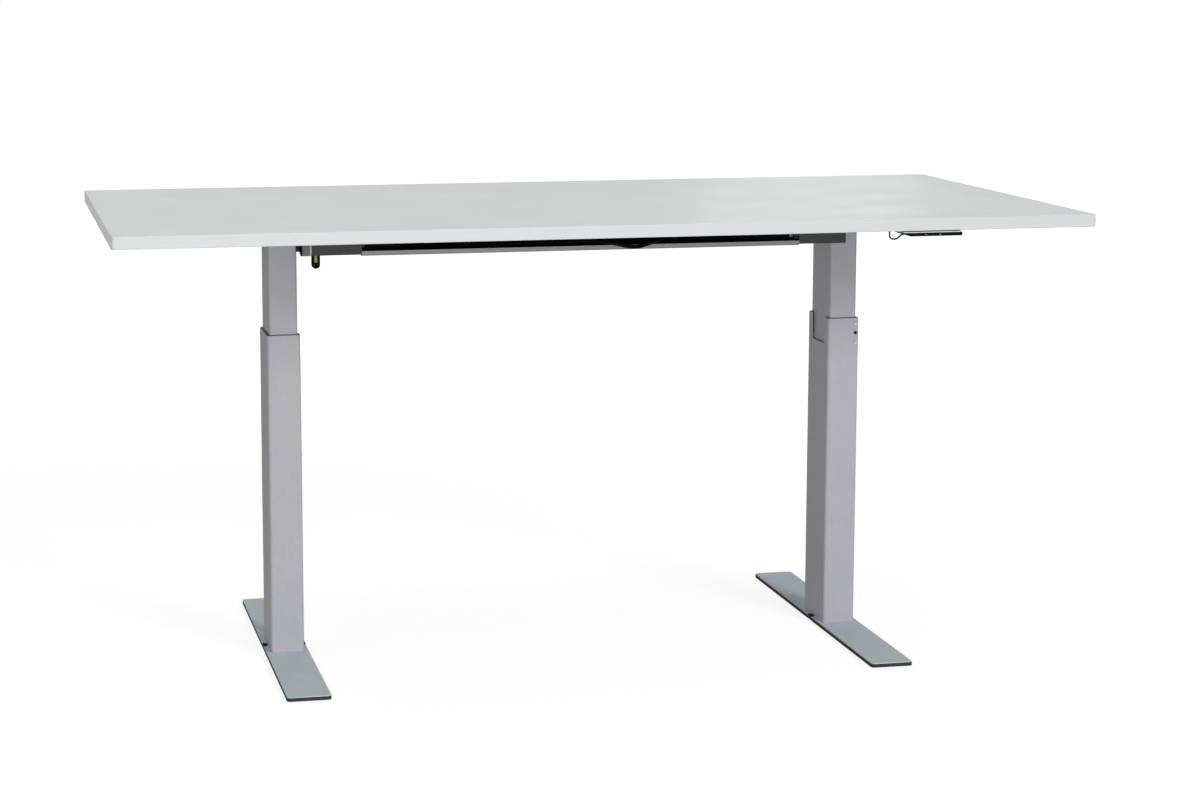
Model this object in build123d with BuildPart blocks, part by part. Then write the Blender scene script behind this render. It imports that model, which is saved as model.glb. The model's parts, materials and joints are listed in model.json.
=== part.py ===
from build123d import *
from math import atan, degrees, radians, tan
import os

os.makedirs("parts", exist_ok=True)

# Sizes are in millimetres. X runs along the desk, Y from front to back, Z up from the floor.
# The desk is drawn part way up its travel.

# Desktop
top_width = 1800.0
top_depth = 900.0
top_thickness = 23.0
top_height = 865.0
top_corner_radius = 6.0
band_thickness = 2.0
band_edge_chamfer = 0.8

# Leg positions
leg_spacing = 1112.0
leg_setback = 20.0

# Feet
foot_length = 752.0
foot_width = 82.0
foot_thickness = 8.0
foot_corner_radius = 8.0
foot_edge_chamfer = 1.0
foot_notch_radius = 8.0
pad_width = 62.0
pad_length = 70.0
pad_thickness = 2.0
pad_pitch = 650.0
foot_bolt_radius = 5.0
foot_bolt_head_radius = 9.0
foot_bolt_head_height = 4.0
foot_bolt_pitch = 80.0
foot_bolt_clearance = 0.15

# Outer tubes
outer_width = 64.0
outer_depth = 124.0
outer_wall = 2.5
outer_radius = 6.0
outer_top = 626.0
cutout_height = 52.0
cutout_corner_radius = 4.0

# Glides between the tubes
glide_wall = 2.2
glide_clearance = 0.3
upper_glide_height = 40.0
upper_glide_lip = 1.0
upper_glide_lip_inset = 1.5
lower_glide_height = 60.0
lower_glide_rise = 2.0
lower_glide_chamfer = 1.0

# Inner tubes
inner_wall = 2.0
inner_radius = 5.0
inner_bottom = 200.0

# Lifting spindles, nuts and push tubes
spindle_radius = 7.0
spindle_bottom = 215.0
spindle_chamfer = 1.5
spindle_running_clearance = 0.05
journal_radius = 5.0
journal_length = 26.0
journal_end_gap = 5.0
thrust_collar_radius = 12.0
thrust_collar_height = 6.0
thrust_collar_gap = 0.4
push_tube_radius = 14.0
push_tube_wall = 3.0
push_tube_top = 556.0
base_flange_thickness = 6.0
base_flange_clearance = 0.5
nut_radius = 18.0
nut_height = 34.0
nut_chamfer = 2.0
nut_flat_spacing = 30.0
nut_flat_height = 12.0
nut_spigot_length = 20.0
nut_spigot_clearance = 0.1

# Head arms, each folded from one plate
arm_length = 640.0
arm_thickness = 3.0
arm_bend_radius = 3.5
arm_outer_overhang = 9.0
arm_inner_overhang = 12.0
arm_outer_flange = 20.0
arm_tip_flange = 8.0
arm_flange_run = 360.0
arm_flange_drop = 16.0
arm_screw_pitch = 540.0

# Gearboxes and motors
gearbox_tube_clearance = 2.0
gearbox_collar = 5.0
gearbox_neck = 11.0
gearbox_neck_radius = 24.0
gearbox_flange = 5.0
gearbox_rib = 5.0
gearbox_depth = 76.0
gearbox_height = 58.0
gearbox_edge_radius = 8.0
gearbox_clearance = 2.0
gearbox_boss_radius = 15.0
gearbox_boss_height = 4.0
motor_radius = 31.0
motor_head_clearance = 3.0
motor_length = 104.0
motor_flange_length = 5.0
motor_can_step = 1.5
motor_bell_length = 16.0
motor_cap_radius = 26.0
motor_cap_length = 6.0

# Rails between the two head arms
rail_drop = 4.0
rail_height = 50.5
rail_depth = 40.0
rail_wall = 2.0
rail_lip = 9.0
rail_bend_radius = 3.0
rail_front_offset = 180.0
rail_end_length = 94.0
rail_end_wall = 2.5
rail_end_radius = 4.0
tongue_length = 78.0
tongue_overlap = 12.0
tongue_thickness = 4.0
tongue_edge_gap = 3.75
tongue_screw_inset = 6.0
tongue_screw_rise = 15.5
tongue_screw_radius = 2.8
tongue_screw_head_radius = 4.0
tongue_screw_head_height = 3.0
tongue_screw_length = 9.0
tongue_screw_clearance = 0.2
lead_slot_length = 20.0
lead_slot_height = 9.4

# Screws into the desktop
desk_screw_radius = 2.5
desk_screw_length = 16.0
desk_screw_head_radius = 5.0
desk_screw_head_height = 3.0
desk_screw_clearance = 0.1

# Control box
box_motor_gap = 96.0
box_setback = 90.0
box_width = 230.0
box_depth = 110.0
box_height = 50.0
box_edge_radius = 6.0
box_bottom_chamfer = 3.0
ear_length = 16.0
ear_width = 40.0
ear_thickness = 2.5
ear_hole_radius = 2.6
inlet_width = 28.0
inlet_height = 21.0
inlet_depth = 16.0
inlet_corner_radius = 3.0
inlet_offset = 65.0

# Leads
lead_arc_share = 0.45
lead_bend_limit = 60.0
motor_lead_radius = 3.5
motor_lead_rise = 13.1
sag_proud = 4.6
handset_lead_radius = 1.5
handset_lead_gap = 0.3
handset_lead_clearance = 0.1
handset_lead_drop = 3.4
handset_lead_setback = 16.0
handset_lead_behind = 3.0
handset_outlet_depth = 13.0
handset_plug_offset = 55.0

# Hook and connector under the left rail end
hook_inset = 10.0
hook_setback = 20.0
hook_thickness = 4.4
hook_width = 9.0
hook_pitch = 11.0
hook_height = 23.0
hook_bend_radius = 5.0
connector_depth = 8.0
connector_height = 14.0
connector_corner_radius = 1.5

# Clips that hold the handset lead
clip_length = 12.0
clip_width = 9.0
clip_height = 5.4
clip_corner_radius = 2.4
front_clip_run = 127.0
rear_clip_run = 80.0

# Handset
handset_width = 113.0
handset_depth = 48.0
handset_inset = 260.0
handset_setback = 4.0
handset_corner_radius = 3.0
handset_base_inset = 2.0
handset_base_height = 2.0
handset_trim_height = 1.8
handset_body_height = 6.7
handset_taper_run = 14.0
handset_taper_rise = 4.5
handset_edge_chamfer = 1.5
key_width = 15.4
key_height = 3.6
key_corner_radius = 1.2
key_edge_chamfer = 0.4
key_proud = 1.2
key_depth = 5.0
key_clearance = 0.3
key_pocket_depth = 7.0
key_first_offset = 43.0
key_pitch = 27.0

# Sizes and positions that follow from those above
foot_top = pad_thickness + foot_thickness
underside = top_height - top_thickness
arm_bottom = underside - arm_thickness
column_y = leg_setback
cavity_width = outer_width - 2 * outer_wall
cavity_depth = outer_depth - 2 * outer_wall
cavity_radius = outer_radius - outer_wall
inner_width = cavity_width - 2 * (glide_wall + glide_clearance)
inner_depth = cavity_depth - 2 * (glide_wall + glide_clearance)
push_tube_bore = push_tube_radius - push_tube_wall
arm_outboard = inner_width / 2 + arm_outer_overhang
arm_inboard = inner_width / 2 + arm_inner_overhang
gearbox_bottom = arm_bottom - gearbox_height
gearbox_boss_bottom = gearbox_bottom - gearbox_boss_height
gearbox_outboard = inner_width / 2 - inner_wall - gearbox_tube_clearance
gearbox_inboard = arm_inboard + gearbox_collar + gearbox_neck + gearbox_flange
gearbox_way = gearbox_depth + 2 * gearbox_clearance
motor_z = underside - motor_head_clearance - motor_radius
motor_end_x = leg_spacing / 2 - gearbox_inboard - motor_length - motor_cap_length
rail_top = underside - rail_drop
rail_bottom = rail_top - rail_height
rail_mid_z = (rail_top + rail_bottom) / 2
rail_front = column_y - rail_front_offset
rail_web = rail_front + rail_depth
rail_end_outer = leg_spacing / 2 - arm_inboard
rail_length = 2 * (rail_end_outer - rail_end_length)
rail_space_width = rail_depth - 2 * rail_wall
rail_space_height = rail_height - 2 * rail_wall
tongue_screw_x = rail_length / 2 - tongue_screw_inset
tongue_screw_z = rail_bottom + tongue_screw_rise
box_x = motor_end_x - box_motor_gap - box_width / 2
box_y = rail_web + box_setback
box_front = box_y - box_depth / 2
box_rear = box_y + box_depth / 2
box_right = box_x + box_width / 2
handset_z = underside - handset_base_height - handset_trim_height
handset_right = top_width / 2 - handset_inset
handset_left = handset_right - handset_width
handset_front = handset_setback - top_depth / 2
handset_back = handset_front + handset_depth
handset_bottom = handset_z - handset_body_height
key_z = handset_z - handset_body_height / 2

# The left motor's lead slants into the front rail, sags out over its lip
# and slants back through the rail to the control box.
motor_lead_z = rail_bottom + motor_lead_rise
lead_entry_x = 34 - motor_end_x
lead_return_x = box_x - 39
channel_y = (rail_front + rail_web) / 2
sag_y = rail_front - sag_proud
slant_run = column_y - channel_y
box_lead_x = lead_return_x + 55
left_motor_lead_points = (
    (-motor_end_x, column_y, motor_lead_z),
    (lead_entry_x, column_y, motor_lead_z),
    (lead_entry_x + slant_run, channel_y, motor_lead_z),
    (lead_return_x - 120, channel_y - 1, motor_lead_z + 2.4),
    (lead_return_x - 90, sag_y, motor_lead_z + 1.8),
    (lead_return_x - 38, sag_y - 0.6, motor_lead_z - 10.4),
    (lead_return_x, sag_y, motor_lead_z + 1.8),
    (box_lead_x, sag_y + 55, motor_lead_z),
    (box_lead_x, box_front, motor_lead_z),
)
lead_slot_left_x = lead_entry_x + column_y - rail_web
lead_slot_box_x = lead_return_x + rail_web - sag_y

right_motor_lead_points = (
    (motor_end_x, column_y, motor_lead_z),
    (box_right + 61, column_y, motor_lead_z),
    (box_right + 35, box_y, motor_lead_z),
    (box_right, box_y, motor_lead_z),
)

# The handset's lead hangs in a small loop, then runs along the underside to the control box.
run_z = underside - handset_lead_gap - handset_lead_radius
run_y = handset_back + handset_lead_behind
outlet_y = handset_front + handset_lead_setback
outlet_z = handset_z - handset_lead_drop
plug_x = box_x + handset_plug_offset
handset_lead_points = (
    (handset_left + handset_outlet_depth, outlet_y, outlet_z),
    (handset_left + 2, outlet_y, outlet_z),
    (handset_left - 7, outlet_y, outlet_z - 9.4),
    (handset_left - 20.5, outlet_y + 1.5, outlet_z - 8),
    (handset_left - 18, outlet_y + 7.5, run_z),
    (handset_left - 18, run_y, run_z),
    (plug_x, run_y, run_z),
    (plug_x, box_front, run_z),
)

# The hook is a flat strip bent to a U, which hangs from the left rail end.
hook_x = hook_inset - rail_end_outer
hook_y = rail_front + hook_setback
hook_top = rail_bottom + rail_wall


def save(part, label):
    """Names a finished part and writes it out."""
    part.label = label
    export_step(part, f"parts/{label}.step")


def turning_plane(origin, along):
    """A plane for a turned profile, whose second direction runs along the piece's axis."""
    outward = Vector(1, 0, 0) if along[2] else Vector(0, 0, 1)
    return Plane(origin=origin, x_dir=outward, z_dir=outward.cross(Vector(*along)))


def turned(plane, *outline):
    """A solid of revolution from an outline of (radius, distance along the axis) points."""
    with BuildSketch(plane) as profile:
        with BuildLine():
            Polyline(*outline, close=True)
        make_face()
    revolve(profile.sketch, axis=Axis(plane.origin, plane.y_dir))


def tube(x, y, z_range, outside, inside):
    """An upright rectangular tube. Outside and inside are (width, depth, corner radius)."""
    with BuildSketch(Plane.XY.offset(z_range[0])) as section:
        with Locations((x, y)):
            RectangleRounded(*outside)
            RectangleRounded(*inside, mode=Mode.SUBTRACT)
    extrude(section.sketch, amount=z_range[1] - z_range[0])


def lead(points, radius):
    """A round lead along straight runs, joined by arcs as large as the shorter run leaves room for."""
    runs = [Vector(end) - Vector(start) for start, end in zip(points, points[1:])]
    bends = []
    for before, after in zip(runs, runs[1:]):
        half_turn = radians(before.get_angle(after)) / 2
        room = lead_arc_share * min(before.length, after.length) / tan(half_turn)
        bends.append(min(room, lead_bend_limit))
    with BuildLine() as route:
        FilletPolyline(*points, radius=bends)
    with BuildSketch(Plane(origin=route.line @ 0, z_dir=route.line % 0)) as section:
        Circle(radius)
    sweep(section.sketch, path=route.line)
    length = sum(edge.length for edge in route.edges())
    print(f"length {length:.1f}, bend radii", [round(bend, 1) for bend in bends])


# Desktop board and its edge band
board_outline = (top_width - 2 * band_thickness, top_depth - 2 * band_thickness)
board_radius = top_corner_radius - band_thickness

with BuildPart() as desktop:
    with BuildSketch(Plane.XY.offset(underside)):
        RectangleRounded(*board_outline, board_radius)
    extrude(amount=top_thickness)
    with Locations(Plane(origin=(0, column_y, underside), z_dir=(0, 0, -1))):
        with GridLocations(leg_spacing, arm_screw_pitch, 2, 2):
            Hole(desk_screw_radius + desk_screw_clearance, depth=desk_screw_length + desk_screw_clearance)
save(desktop.part, "desktop")

with BuildPart() as edge_band:
    tube(
        0,
        0,
        (underside, top_height),
        (top_width, top_depth, top_corner_radius),
        (*board_outline, board_radius),
    )
    rims = edge_band.faces().filter_by(Axis.Z)
    chamfer([edge for rim in rims for edge in rim.outer_wire().edges()], band_edge_chamfer)
save(edge_band.part, "edge_band")


def build_leg(name, side):
    """The parts of one leg that stand on the floor. Side is -1 for left and 1 for right."""
    x = side * leg_spacing / 2
    y = column_y
    inward = -side
    bolt_hole_radius = foot_bolt_radius + foot_bolt_clearance
    bolt_head_slope = (foot_bolt_head_radius - foot_bolt_radius) / foot_bolt_head_height
    bolt_head_angle = 2 * degrees(atan(bolt_head_slope))
    slide_opening = (
        inner_width + 2 * glide_clearance,
        inner_depth + 2 * glide_clearance,
        inner_radius + glide_clearance,
    )

    with BuildPart() as foot:
        with BuildSketch(Plane.XY.offset(pad_thickness)):
            with Locations((x, y)):
                RectangleRounded(foot_width, foot_length, foot_corner_radius)
                with GridLocations(foot_width, 0, 2, 1):
                    Circle(foot_notch_radius, mode=Mode.SUBTRACT)
        extrude(amount=foot_thickness)
        chamfer(foot.faces().sort_by(Axis.Z)[-1].edges(), foot_edge_chamfer)
        with Locations(Plane(origin=(x, y, pad_thickness), z_dir=(0, 0, -1))):
            with GridLocations(0, foot_bolt_pitch, 1, 2):
                CounterSinkHole(
                    bolt_hole_radius,
                    foot_bolt_head_radius + foot_bolt_clearance,
                    counter_sink_angle=bolt_head_angle,
                )
    save(foot.part, f"{name}_foot")

    for place, toward in (("front", -1), ("rear", 1)):
        with BuildPart() as pad:
            with BuildSketch():
                with Locations((x, y + toward * pad_pitch / 2)):
                    Rectangle(pad_width, pad_length)
            extrude(amount=pad_thickness)
        save(pad.part, f"{name}_{place}_pad")

        with BuildPart() as foot_bolt:
            bolt_length = foot_thickness + base_flange_thickness
            turned(
                turning_plane((x, y + toward * foot_bolt_pitch / 2, pad_thickness), (0, 0, 1)),
                (0, 0),
                (foot_bolt_head_radius, 0),
                (foot_bolt_radius, foot_bolt_head_height),
                (foot_bolt_radius, bolt_length),
                (0, bolt_length),
            )
        save(foot_bolt.part, f"{name}_{place}_foot_bolt")

    with BuildPart() as outer_tube:
        tube(
            x,
            y,
            (foot_top, outer_top),
            (outer_width, outer_depth, outer_radius),
            (cavity_width, cavity_depth, cavity_radius),
        )
        with BuildSketch(Plane.YZ.offset(x)):
            with Locations((y, outer_top)):
                RectangleRounded(gearbox_way, 2 * cutout_height, cutout_corner_radius)
        extrude(amount=inward * outer_width, mode=Mode.SUBTRACT)
    save(outer_tube.part, f"{name}_outer_tube")

    with BuildPart() as push_tube:
        with BuildSketch(Plane.XY.offset(foot_top)):
            with Locations((x, y)):
                RectangleRounded(
                    cavity_width - 2 * base_flange_clearance,
                    cavity_depth - 2 * base_flange_clearance,
                    cavity_radius,
                )
                with GridLocations(0, foot_bolt_pitch, 1, 2):
                    Circle(bolt_hole_radius, mode=Mode.SUBTRACT)
        extrude(amount=base_flange_thickness)
        with BuildSketch(Plane.XY.offset(foot_top)):
            with Locations((x, y)):
                Circle(push_tube_radius)
        extrude(amount=push_tube_top - foot_top)
        with Locations((x, y, push_tube_top)):
            Hole(push_tube_bore)
    save(push_tube.part, f"{name}_push_tube")

    with BuildPart() as spindle_nut:
        bore = spindle_radius + spindle_running_clearance
        spigot = push_tube_bore - nut_spigot_clearance
        turned(
            turning_plane((x, y, push_tube_top), (0, 0, 1)),
            (bore, -nut_spigot_length),
            (spigot, -nut_spigot_length),
            (spigot, 0),
            (nut_radius, 0),
            (nut_radius, nut_height - nut_chamfer),
            (nut_radius - nut_chamfer, nut_height),
            (bore, nut_height),
        )
        with BuildSketch(Plane.XY.offset(push_tube_top + nut_height)):
            with Locations((x, y)):
                Circle(nut_radius)
                Rectangle(2 * nut_radius, nut_flat_spacing, mode=Mode.SUBTRACT)
        extrude(amount=-nut_flat_height, mode=Mode.SUBTRACT)
    save(spindle_nut.part, f"{name}_spindle_nut")

    with BuildPart() as upper_glide:
        tube(
            x,
            y,
            (outer_top - upper_glide_height, outer_top),
            (cavity_width, cavity_depth, cavity_radius),
            slide_opening,
        )
        tube(
            x,
            y,
            (outer_top, outer_top + upper_glide_lip),
            (
                outer_width - 2 * upper_glide_lip_inset,
                outer_depth - 2 * upper_glide_lip_inset,
                outer_radius - upper_glide_lip_inset,
            ),
            slide_opening,
        )
        with BuildSketch(Plane.YZ.offset(x)):
            with Locations((y, outer_top)):
                RectangleRounded(gearbox_way, 2 * cutout_height, cutout_corner_radius)
        extrude(amount=inward * outer_width, mode=Mode.SUBTRACT)
    save(upper_glide.part, f"{name}_upper_glide")


def build_head(name, side):
    """The parts of one leg that rise with the desktop. Side is -1 for left and 1 for right."""
    x = side * leg_spacing / 2
    y = column_y
    inward = -side
    inner_outline = (inner_width, inner_depth, inner_radius)

    with BuildPart() as inner_tube:
        tube(
            x,
            y,
            (inner_bottom, arm_bottom),
            inner_outline,
            (inner_width - 2 * inner_wall, inner_depth - 2 * inner_wall, inner_radius - inner_wall),
        )
        with BuildSketch(Plane.YZ.offset(x)):
            with Locations((y, arm_bottom)):
                RectangleRounded(gearbox_way, 2 * (gearbox_height + gearbox_clearance), gearbox_edge_radius)
        extrude(amount=inward * inner_width, mode=Mode.SUBTRACT)
    save(inner_tube.part, f"{name}_inner_tube")

    with BuildPart() as lower_glide:
        glide_bottom = inner_bottom + lower_glide_rise
        with BuildSketch(Plane.XY.offset(glide_bottom)):
            with Locations((x, y)):
                RectangleRounded(inner_width + 2 * glide_wall, inner_depth + 2 * glide_wall, cavity_radius)
        extrude(amount=lower_glide_height)
        ends = lower_glide.faces().filter_by(Axis.Z)
        chamfer([edge for end in ends for edge in end.edges()], lower_glide_chamfer)
        with BuildSketch(Plane.XY.offset(glide_bottom)):
            with Locations((x, y)):
                RectangleRounded(*inner_outline)
        extrude(amount=lower_glide_height, mode=Mode.SUBTRACT)
    save(lower_glide.part, f"{name}_lower_glide")

    with BuildPart() as head_arm:
        middle = arm_thickness / 2
        outer_fold = middle - arm_outboard
        inner_fold = arm_inboard - middle
        across = Plane(origin=(x, y, underside), x_dir=(inward, 0, 0), z_dir=(0, -inward, 0))
        flange_bottom = rail_bottom + rail_wall - underside
        flange_deepest = flange_bottom - arm_flange_drop
        with BuildSketch(across):
            with BuildLine():
                FilletPolyline(
                    (outer_fold, -arm_outer_flange),
                    (outer_fold, -middle),
                    (inner_fold, -middle),
                    (inner_fold, flange_deepest),
                    radius=arm_bend_radius,
                )
            trace(line_width=arm_thickness)
        extrude(amount=arm_length / 2, both=True)
        along = Plane(origin=(x, y, underside), x_dir=(0, 1, 0), z_dir=(1, 0, 0))
        with BuildSketch(along):
            for toward in (-1, 1):
                with BuildLine():
                    Polyline(
                        (toward * arm_length / 2, -arm_tip_flange),
                        (toward * arm_length / 2, -arm_outer_flange),
                        (toward * arm_flange_run / 2, -arm_outer_flange),
                        close=True,
                    )
                make_face()
        extrude(amount=-inward * arm_outboard, mode=Mode.SUBTRACT)
        with BuildSketch(along):
            with Locations((0, flange_deepest)):
                Rectangle(gearbox_way, -2 * (flange_deepest + arm_thickness))
            for toward in (-1, 1):
                cut_length = arm_length / 2 - rail_front_offset
                with Locations((toward * (arm_length / 2 - cut_length / 2), flange_deepest)):
                    Rectangle(cut_length, -2 * (flange_deepest + arm_thickness))
                with BuildLine():
                    Polyline(
                        (toward * rail_front_offset, flange_bottom),
                        (toward * rail_front_offset, flange_deepest),
                        (toward * gearbox_way / 2, flange_deepest),
                        close=True,
                    )
                make_face()
        extrude(amount=inward * arm_inboard, mode=Mode.SUBTRACT)
        with Locations((x, y, underside)):
            with GridLocations(0, arm_screw_pitch, 1, 2):
                Hole(desk_screw_radius + desk_screw_clearance, depth=arm_thickness)
    save(head_arm.part, f"{name}_head_arm")

    with BuildPart() as gearbox:
        housing_end = x + inward * (arm_inboard + gearbox_collar)
        with BuildSketch(Plane.YZ.offset(x - inward * gearbox_outboard)):
            with Locations((y, gearbox_bottom + gearbox_height / 2)):
                RectangleRounded(gearbox_depth, gearbox_height, gearbox_edge_radius)
        extrude(amount=inward * (gearbox_outboard + arm_inboard + gearbox_collar))
        with BuildSketch(Plane.YZ.offset(housing_end)):
            with Locations((y, motor_z)):
                Circle(gearbox_neck_radius)
                Rectangle(2 * motor_radius - gearbox_rib, gearbox_rib)
                Rectangle(gearbox_rib, 2 * motor_radius - gearbox_rib)
        extrude(amount=inward * gearbox_neck)
        with BuildSketch(Plane.YZ.offset(housing_end + inward * gearbox_neck)):
            with Locations((y, motor_z)):
                Circle(motor_radius)
        extrude(amount=inward * gearbox_flange)
        with BuildSketch(Plane.XY.offset(gearbox_bottom)):
            with Locations((x, y)):
                Circle(gearbox_boss_radius)
        extrude(amount=-gearbox_boss_height)
        with Locations(Plane(origin=(x, y, gearbox_boss_bottom), z_dir=(0, 0, -1))):
            Hole(journal_radius + spindle_running_clearance, depth=journal_length + journal_end_gap)
    save(gearbox.part, f"{name}_gearbox")

    with BuildPart() as motor:
        can_radius = motor_radius - motor_can_step
        bell_start = motor_length - motor_bell_length
        turned(
            turning_plane((x + inward * gearbox_inboard, y, motor_z), (inward, 0, 0)),
            (0, 0),
            (motor_radius, 0),
            (motor_radius, motor_flange_length),
            (can_radius, motor_flange_length),
            (can_radius, bell_start),
            (motor_radius, bell_start),
            (motor_radius, motor_length),
            (motor_cap_radius, motor_length + motor_cap_length),
            (0, motor_length + motor_cap_length),
        )
    save(motor.part, f"{name}_motor")

    with BuildPart() as spindle:
        collar_top = gearbox_boss_bottom - thrust_collar_gap
        collar_bottom = collar_top - thrust_collar_height
        journal_top = gearbox_boss_bottom + journal_length
        turned(
            turning_plane((x, y, 0), (0, 0, 1)),
            (0, spindle_bottom),
            (spindle_radius - spindle_chamfer, spindle_bottom),
            (spindle_radius, spindle_bottom + spindle_chamfer),
            (spindle_radius, collar_bottom),
            (thrust_collar_radius, collar_bottom),
            (thrust_collar_radius, collar_top),
            (journal_radius, collar_top),
            (journal_radius, journal_top),
            (0, journal_top),
        )
    save(spindle.part, f"{name}_spindle")

    for place, toward in (("front", -1), ("rear", 1)):
        with BuildPart() as desk_screw:
            screw_tip = arm_thickness + desk_screw_length
            turned(
                turning_plane((x, y + toward * arm_screw_pitch / 2, arm_bottom), (0, 0, 1)),
                (0, -desk_screw_head_height),
                (desk_screw_radius, -desk_screw_head_height),
                (desk_screw_head_radius, 0),
                (desk_screw_radius, 0),
                (desk_screw_radius, screw_tip),
                (0, screw_tip),
            )
        save(desk_screw.part, f"{name}_{place}_desk_screw")


def build_rail(name, facing, lead_slots):
    """One rail with its two ends. Facing is -1 for the front rail and 1 for the rear rail."""
    front = column_y + facing * rail_front_offset
    web = front - facing * rail_depth
    space_y = (front + web) / 2
    lip_fold = front - facing * rail_wall / 2
    web_fold = web + facing * rail_wall / 2
    upper_fold = rail_top - rail_wall / 2
    lower_fold = rail_bottom + rail_wall / 2
    tongue_back = web + facing * rail_wall
    tongue_front = tongue_back + facing * tongue_thickness
    screw_hole_radius = tongue_screw_radius + tongue_screw_clearance

    with BuildPart() as rail:
        with BuildSketch(Plane.YZ):
            with BuildLine():
                FilletPolyline(
                    (lip_fold, rail_top - rail_lip),
                    (lip_fold, upper_fold),
                    (web_fold, upper_fold),
                    (web_fold, lower_fold),
                    (lip_fold, lower_fold),
                    (lip_fold, rail_bottom + rail_lip),
                    radius=rail_bend_radius,
                )
            trace(line_width=rail_wall)
        extrude(amount=rail_length / 2, both=True)
        with BuildSketch(Plane.XZ.offset(-web_fold)):
            with Locations(*[(slot_x, motor_lead_z) for slot_x in lead_slots]):
                SlotOverall(lead_slot_length, lead_slot_height)
            with Locations((0, tongue_screw_z)):
                with GridLocations(2 * tongue_screw_x, 0, 2, 1):
                    Circle(screw_hole_radius)
        extrude(amount=rail_wall, both=True, mode=Mode.SUBTRACT)
    save(rail.part, f"{name}_rail")

    for place, toward in (("left", -1), ("right", 1)):
        screw_x = toward * tongue_screw_x
        with BuildPart() as rail_end:
            with BuildSketch(Plane.YZ.offset(toward * rail_length / 2)):
                with Locations((space_y, rail_mid_z)):
                    RectangleRounded(rail_space_width, rail_space_height, rail_end_radius)
                    RectangleRounded(
                        rail_space_width - 2 * rail_end_wall,
                        rail_space_height - 2 * rail_end_wall,
                        rail_end_radius - rail_end_wall,
                        mode=Mode.SUBTRACT,
                    )
            extrude(amount=toward * rail_end_length)
            with BuildSketch(Plane.XZ.offset(-tongue_back)):
                tongue_middle = toward * (rail_length + tongue_overlap - tongue_length) / 2
                with Locations((tongue_middle, rail_mid_z)):
                    Rectangle(tongue_length + tongue_overlap, rail_space_height - 2 * tongue_edge_gap)
                with Locations((screw_x, tongue_screw_z)):
                    Circle(screw_hole_radius, mode=Mode.SUBTRACT)
            extrude(amount=-facing * tongue_thickness)
        save(rail_end.part, f"{name}_{place}_rail_end")

        with BuildPart() as tongue_screw:
            turned(
                turning_plane((screw_x, tongue_front, tongue_screw_z), (0, facing, 0)),
                (0, -tongue_screw_length),
                (tongue_screw_radius, -tongue_screw_length),
                (tongue_screw_radius, 0),
                (tongue_screw_head_radius, 0),
                (tongue_screw_head_radius, tongue_screw_head_height),
                (0, tongue_screw_head_height),
            )
        save(tongue_screw.part, f"{name}_{place}_tongue_screw")


for leg_name, leg_side in (("left", -1), ("right", 1)):
    build_leg(leg_name, leg_side)
    build_head(leg_name, leg_side)

build_rail("front", -1, (lead_slot_left_x, lead_slot_box_x))
build_rail("rear", 1, ())

# Control box, screwed up through two ears, with its mains inlet in the rear face
with BuildPart() as control_box:
    with BuildSketch(Plane.XY.offset(underside)):
        with Locations((box_x, box_y)):
            RectangleRounded(box_width, box_depth, box_edge_radius)
    extrude(amount=-box_height)
    chamfer(control_box.faces().sort_by(Axis.Z)[0].edges(), box_bottom_chamfer)
    with BuildSketch(Plane.XY.offset(underside)):
        with Locations((box_x, box_y)):
            RectangleRounded(box_width + 2 * ear_length, ear_width, box_edge_radius)
    extrude(amount=-ear_thickness)
    with Locations((box_x, box_y, underside)):
        with GridLocations(box_width + ear_length, 0, 2, 1):
            Hole(ear_hole_radius, depth=ear_thickness)
    with BuildSketch(Plane.XZ.offset(-box_rear)):
        with Locations((box_x + inlet_offset, underside - box_height / 2)):
            RectangleRounded(inlet_width, inlet_height, inlet_corner_radius)
    extrude(amount=inlet_depth, mode=Mode.SUBTRACT)
save(control_box.part, "control_box")

# Motor leads
with BuildPart() as left_motor_lead:
    lead(left_motor_lead_points, motor_lead_radius)
save(left_motor_lead.part, "left_motor_lead")

with BuildPart() as right_motor_lead:
    lead(right_motor_lead_points, motor_lead_radius)
save(right_motor_lead.part, "right_motor_lead")

# Hook under the left rail end with the connector that it holds
with BuildPart() as lead_hook:
    with BuildSketch(Plane(origin=(hook_x, hook_y, hook_top), x_dir=(1, 0, 0), z_dir=(0, -1, 0))):
        with BuildLine():
            FilletPolyline(
                (-hook_pitch / 2, 0),
                (-hook_pitch / 2, -hook_height),
                (hook_pitch / 2, -hook_height),
                (hook_pitch / 2, 0),
                radius=hook_bend_radius,
            )
        trace(line_width=hook_thickness)
    extrude(amount=hook_width / 2, both=True)
save(lead_hook.part, "lead_hook")

with BuildPart() as connector:
    with BuildSketch(Plane.XY.offset(hook_top)):
        with Locations((hook_x, hook_y)):
            RectangleRounded(hook_pitch - hook_thickness, connector_depth, connector_corner_radius)
    extrude(amount=-connector_height)
save(connector.part, "connector")

# Handset under the front edge
handset_x = (handset_left + handset_right) / 2
handset_y = (handset_front + handset_back) / 2
key_places = [(handset_left + key_first_offset + step * key_pitch, key_z) for step in (0, 1)]

with BuildPart() as handset_base:
    with BuildSketch(Plane.XY.offset(underside)):
        with Locations((handset_x, handset_y)):
            RectangleRounded(
                handset_width - 2 * handset_base_inset,
                handset_depth - 2 * handset_base_inset,
                handset_corner_radius,
            )
    extrude(amount=-handset_base_height)
save(handset_base.part, "handset_base")

with BuildPart() as handset_trim:
    with BuildSketch(Plane.XY.offset(handset_z)):
        with Locations((handset_x, handset_y)):
            RectangleRounded(handset_width, handset_depth, handset_corner_radius)
    extrude(amount=handset_trim_height)
save(handset_trim.part, "handset_trim")

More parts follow.
